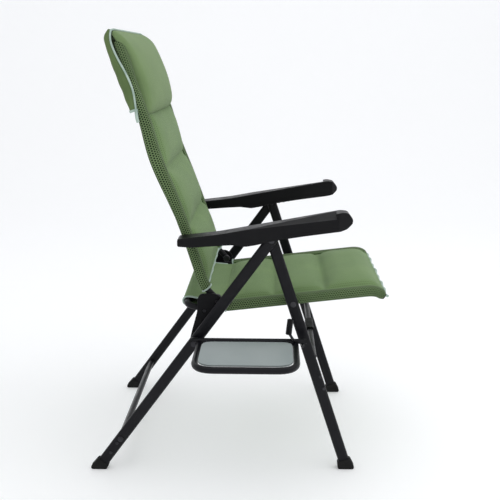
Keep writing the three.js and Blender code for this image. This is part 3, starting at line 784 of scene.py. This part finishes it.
SLING_TOP = [(0.344, 0.459), (0.318, 0.4595), (0.290, 0.462), (0.262, 0.467), (0.244, 0.4705),
             (0.234, 0.4702)]
SLING_UNDER = [(0.2255, 0.4655), (0.2240, 0.457), (0.2285, 0.4490), (0.238, 0.4462), (0.256, 0.4462),
               (0.290, 0.4455), (0.318, 0.4470), (0.344, 0.4490)]


def seat_sling():
    """The plain cloth behind the seat pillows, sewn round the seat's rear bar."""
    line = Line(catmull(SLING_TOP + SLING_UNDER, 8))
    rows, columns = 60, 41
    half = 0.199
    points, uv = [], []
    for s in np.linspace(0, line.length, rows):
        x, z = line.at(s)
        free = min(1, max(0, (x - 0.262) / 0.04))
        for y in np.linspace(-half, half, columns):
            sag = 0.004 * (1 - (y / half) ** 2) * free
            points.append((x, y, z - sag))
            uv.append((y, s))
    piece = mesh_piece("seat_sling", points, grid_faces(rows, columns), uv, QUILT, "seat")
    thicken(piece, 0.0014)
    subdivide(piece)
    for side, word in ((1, "left"), (-1, "right")):
        path = [(*line.at(s), s) for s in np.linspace(0.02, line.length * 0.62, 26)]
        tube(f"sling_piping_{word}", [(x, side * half, z) for x, z, s in path], 0.0026, TAPE, "seat")


# ------------------------------------------------------------ smooth frame tubes

def seat_tube():
    rear_x, rear_z = 0.236, 0.458
    side = [SEAT_NOSE, SEAT_FRONT, SEAT_HINGE, (rear_x, rear_z)]
    corners = [(x, -FRAME_Y, z) for x, z in side] + [(x, FRAME_Y, z) for x, z in side[::-1]]
    piece = tube("seat_frame_tube", rounded(corners, 0.026), FRAME_RADIUS, PAINT, "seat", smooth=False)
    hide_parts("seat_frame")


def back_tube():
    side = catmull(BACK_POINTS[:-1], 12)
    bend = 0.036
    top = (0.076, 1.153)
    right = [(x, -FRAME_Y, z) for x, z in side]
    corner = rounded([right[-1], (top[0], -FRAME_Y, top[1]), (top[0], -FRAME_Y + 2 * bend, top[1])], bend)
    half = right + [tuple(p) for p in corner[1:-1]]
    points = half + [(x, -y, z) for x, y, z in half[::-1]]
    piece = tube("back_frame_tube", points, FRAME_RADIUS, PAINT, "back", smooth=False)
    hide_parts("back_frame")


# ------------------------------------------------------------ CAD pieces that stay

def shade_group():
    """Smooth shading, with the edges that turn more than a set angle kept sharp."""
    group = bpy.data.node_groups.new("smooth_by_angle", "GeometryNodeTree")
    group.interface.new_socket("Geometry", in_out="INPUT", socket_type="NodeSocketGeometry")
    group.interface.new_socket("Geometry", in_out="OUTPUT", socket_type="NodeSocketGeometry")
    start = group.nodes.new("NodeGroupInput")
    end = group.nodes.new("NodeGroupOutput")
    faces = group.nodes.new("GeometryNodeSetShadeSmooth")
    edges = group.nodes.new("GeometryNodeSetShadeSmooth")
    edges.domain = "EDGE"
    edges.inputs["Shade Smooth"].default_value = False
    angle = group.nodes.new("GeometryNodeInputMeshEdgeAngle")
    sharp = group.nodes.new("FunctionNodeCompare")
    sharp.operation = "GREATER_THAN"
    sharp.inputs[1].default_value = math.radians(32)
    group.links.new(start.outputs[0], faces.inputs["Geometry"])
    group.links.new(faces.outputs[0], edges.inputs["Geometry"])
    group.links.new(angle.outputs["Unsigned Angle"], sharp.inputs[0])
    group.links.new(sharp.outputs[0], edges.inputs["Selection"])
    group.links.new(edges.outputs[0], end.inputs[0])
    return group


CAD_FINISH = {
    "rear_leg": (PAINT, 0), "front_leg": (PAINT, 0), "rear_foot": (RUBBER, 0.0012),
    "front_foot": (RUBBER, 0.0012), "rear_stretcher": (PAINT, 0), "front_stretcher": (PAINT, 0),
    "carry_grip": (MATTE, 0.0008), "tray_stud": (STEEL, 0), "seat_bolt": (STEEL, 0.0003),
    "link_bolt": (STEEL, 0.0003), "apex_bolt": (STEEL, 0.0003), "rear_bar_bolt": (STEEL, 0.0003),
    "hinge_bracket": (MATTE, 0.0006), "seat_front_bar": (PAINT, 0), "seat_hinge_pin": (STEEL, 0),
    "back_hinge_pin": (STEEL, 0), "arm_hinge_pin": (STEEL, 0), "armrest": (SATIN, 0.0008),
    "ratchet_rack": (MATTE, 0.0003), "tray_rail": (PAINT, 0), "tray_panel": (BOARD, 0.0008),
    "tray_frame": (PAINT, 0),
}


def finish_cad_pieces():
    shading = shade_group()
    for name, piece in nodes.items():
        if piece.hide_render:
            continue
        base = name.removesuffix("_left").removesuffix("_right")
        finish, bevel = CAD_FINISH[base]
        piece.data.materials.clear()
        piece.data.materials.append(finish.material)
        if bevel:
            modifier = piece.modifiers.new("edges", "BEVEL")
            modifier.width = bevel
            modifier.segments = 2
            modifier.angle_limit = math.radians(32)
            modifier.use_clamp_overlap = True
        modifier = piece.modifiers.new("shading", "NODES")
        modifier.node_group = shading


TRAY_REAR, TRAY_FRONT = 0.277, 0.527
TRAY_OUTER, TRAY_INNER = -0.4915, -0.315
TRAY_RADIUS = 0.0085


def tray_loop():
    z = middle("tray_rail").z
    corners = [
        (TRAY_REAR, TRAY_INNER, z), (TRAY_REAR, TRAY_OUTER, z),
        (TRAY_FRONT, TRAY_OUTER, z), (TRAY_FRONT, TRAY_INNER, z),
    ]
    path = rounded(corners, 0.052, 10)
    piece = tube("tray_loop", path, TRAY_RADIUS, PAINT, "tray", smooth=False)
    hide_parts("tray_frame")
    for x, word in ((0.280, "rear"), (0.524, "front")):
        ends = [(x + step, -0.307, z) for step in (-0.0072, -0.006, 0.006, 0.0072)]
        tube(f"tray_collar_{word}", ends, 0.0104, MATTE, "tray", smooth=False)


def tray_latch():
    """The latch lever that stands on the tray's front collar, behind the near front leg."""
    lever = [
        (0.509, -0.322, 0.409), (0.510, -0.322, 0.422),
        (0.512, -0.322, 0.437), (0.513, -0.322, 0.448),
    ]
    tube("tray_latch", lever, 0.0080, SATIN, "tray")
    foot = [(0.524, -0.310, 0.386), (0.518, -0.318, 0.396), (0.510, -0.322, 0.412)]
    tube("tray_latch_foot", foot, 0.0036, STEEL, "tray")


RIVETS = {
    "front_leg": [(0.597, 0.270), (0.607, 0.236)],
    "rear_leg": [(0.045, 0.077), (0.027, 0.049)],
}


def leg_rivets():
    """Domed rivet heads near the foot of each leg, on its outer face."""
    for leg, spots in RIVETS.items():
        for side, word in ((1, "left"), (-1, "right")):
            low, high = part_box(f"{leg}_{word}")
            body = nodes[f"{leg}_{word}"]["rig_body"]
            face = abs((high if side > 0 else low).y - SHIFT_Y)
            for number, (x, z) in enumerate(spots, 1):
                head = [(x, side * (face + out), z) for out in (-0.001, 0.0006, 0.0010)]
                tube(f"{leg}_rivet_{word}_{number}", head, 0.0042, STEEL, body, smooth=False)


# ------------------------------------------------------------ studio

def floor():
    mesh = bpy.data.meshes.new("floor")
    half, rise, back = 9.0, 6.0, 5.0
    profile = [(-half, 0.0), (back - 2.0, 0.0)]
    for i in range(1, 13):
        turn = math.radians(90 * i / 12)
        profile.append((back - 2.0 + 2.0 * math.sin(turn), 2.0 - 2.0 * math.cos(turn)))
    profile.append((back, rise))
    points = [(x, y, z) for y, z in profile for x in (-half, half)]
    faces = [(2 * i, 2 * i + 1, 2 * i + 3, 2 * i + 2) for i in range(len(profile) - 1)]
    mesh.from_pydata(points, [], faces)
    mesh.shade_smooth()
    piece = bpy.data.objects.new("floor", mesh)
    bpy.context.scene.collection.objects.link(piece)
    n = Nodes("floor_paper", "floor")
    tone = n.noise(n.coordinates("Object"), 3)
    color = n.mix(tone, (0.930, 0.935, 0.945), (0.940, 0.945, 0.955))
    n.surface(color, roughness=n.ramp(tone, 0, 1, 0.8, 0.9), specular_ior_level=0.1,
              emission_color=(1, 1, 1, 1), emission_strength=0.10)
    mesh.materials.append(n.material)


def area_light(name, at, aim, size, power):
    data = bpy.data.lights.new(name, "AREA")
    data.shape = "RECTANGLE"
    data.size, data.size_y = size
    data.energy = power
    piece = bpy.data.objects.new(name, data)
    bpy.context.scene.collection.objects.link(piece)
    piece.location = at
    piece.rotation_euler = (Vector(aim) - Vector(at)).to_track_quat("-Z", "Y").to_euler()


def studio():
    scene = bpy.context.scene
    world = bpy.data.worlds.new("studio")
    world.use_nodes = True
    background = world.node_tree.nodes["Background"]
    background.inputs["Color"].default_value = (0.975, 0.985, 1.0, 1)
    background.inputs["Strength"].default_value = 0.80
    scene.world = world
    area_light("top", (0.5, -0.3, 3.8), (0.0, 0.1, 0.6), (4.5, 4.5), 38)
    area_light("front", (2.8, -0.6, 2.4), (0.0, 0.1, 0.7), (2.4, 2.0), 14)
    scene.view_settings.view_transform = "Standard"


def camera():
    data = bpy.data.cameras.new("camera")
    data.lens = 57.6
    data.sensor_width = 36
    data.clip_end = 60
    piece = bpy.data.objects.new("camera", data)
    bpy.context.scene.collection.objects.link(piece)
    piece.location = place(0.4641, -2.2773, 1.1016)
    piece.rotation_euler = (math.pi / 2 - 0.2360, 0, 0.0280)
    bpy.context.scene.camera = piece


camera()
studio()
floor()
seat_tube()
back_tube()
tray_loop()
tray_latch()
leg_rivets()
back_cover()
head_cushion()
hood()
seat_cover()
seat_sling()
finish_cad_pieces()
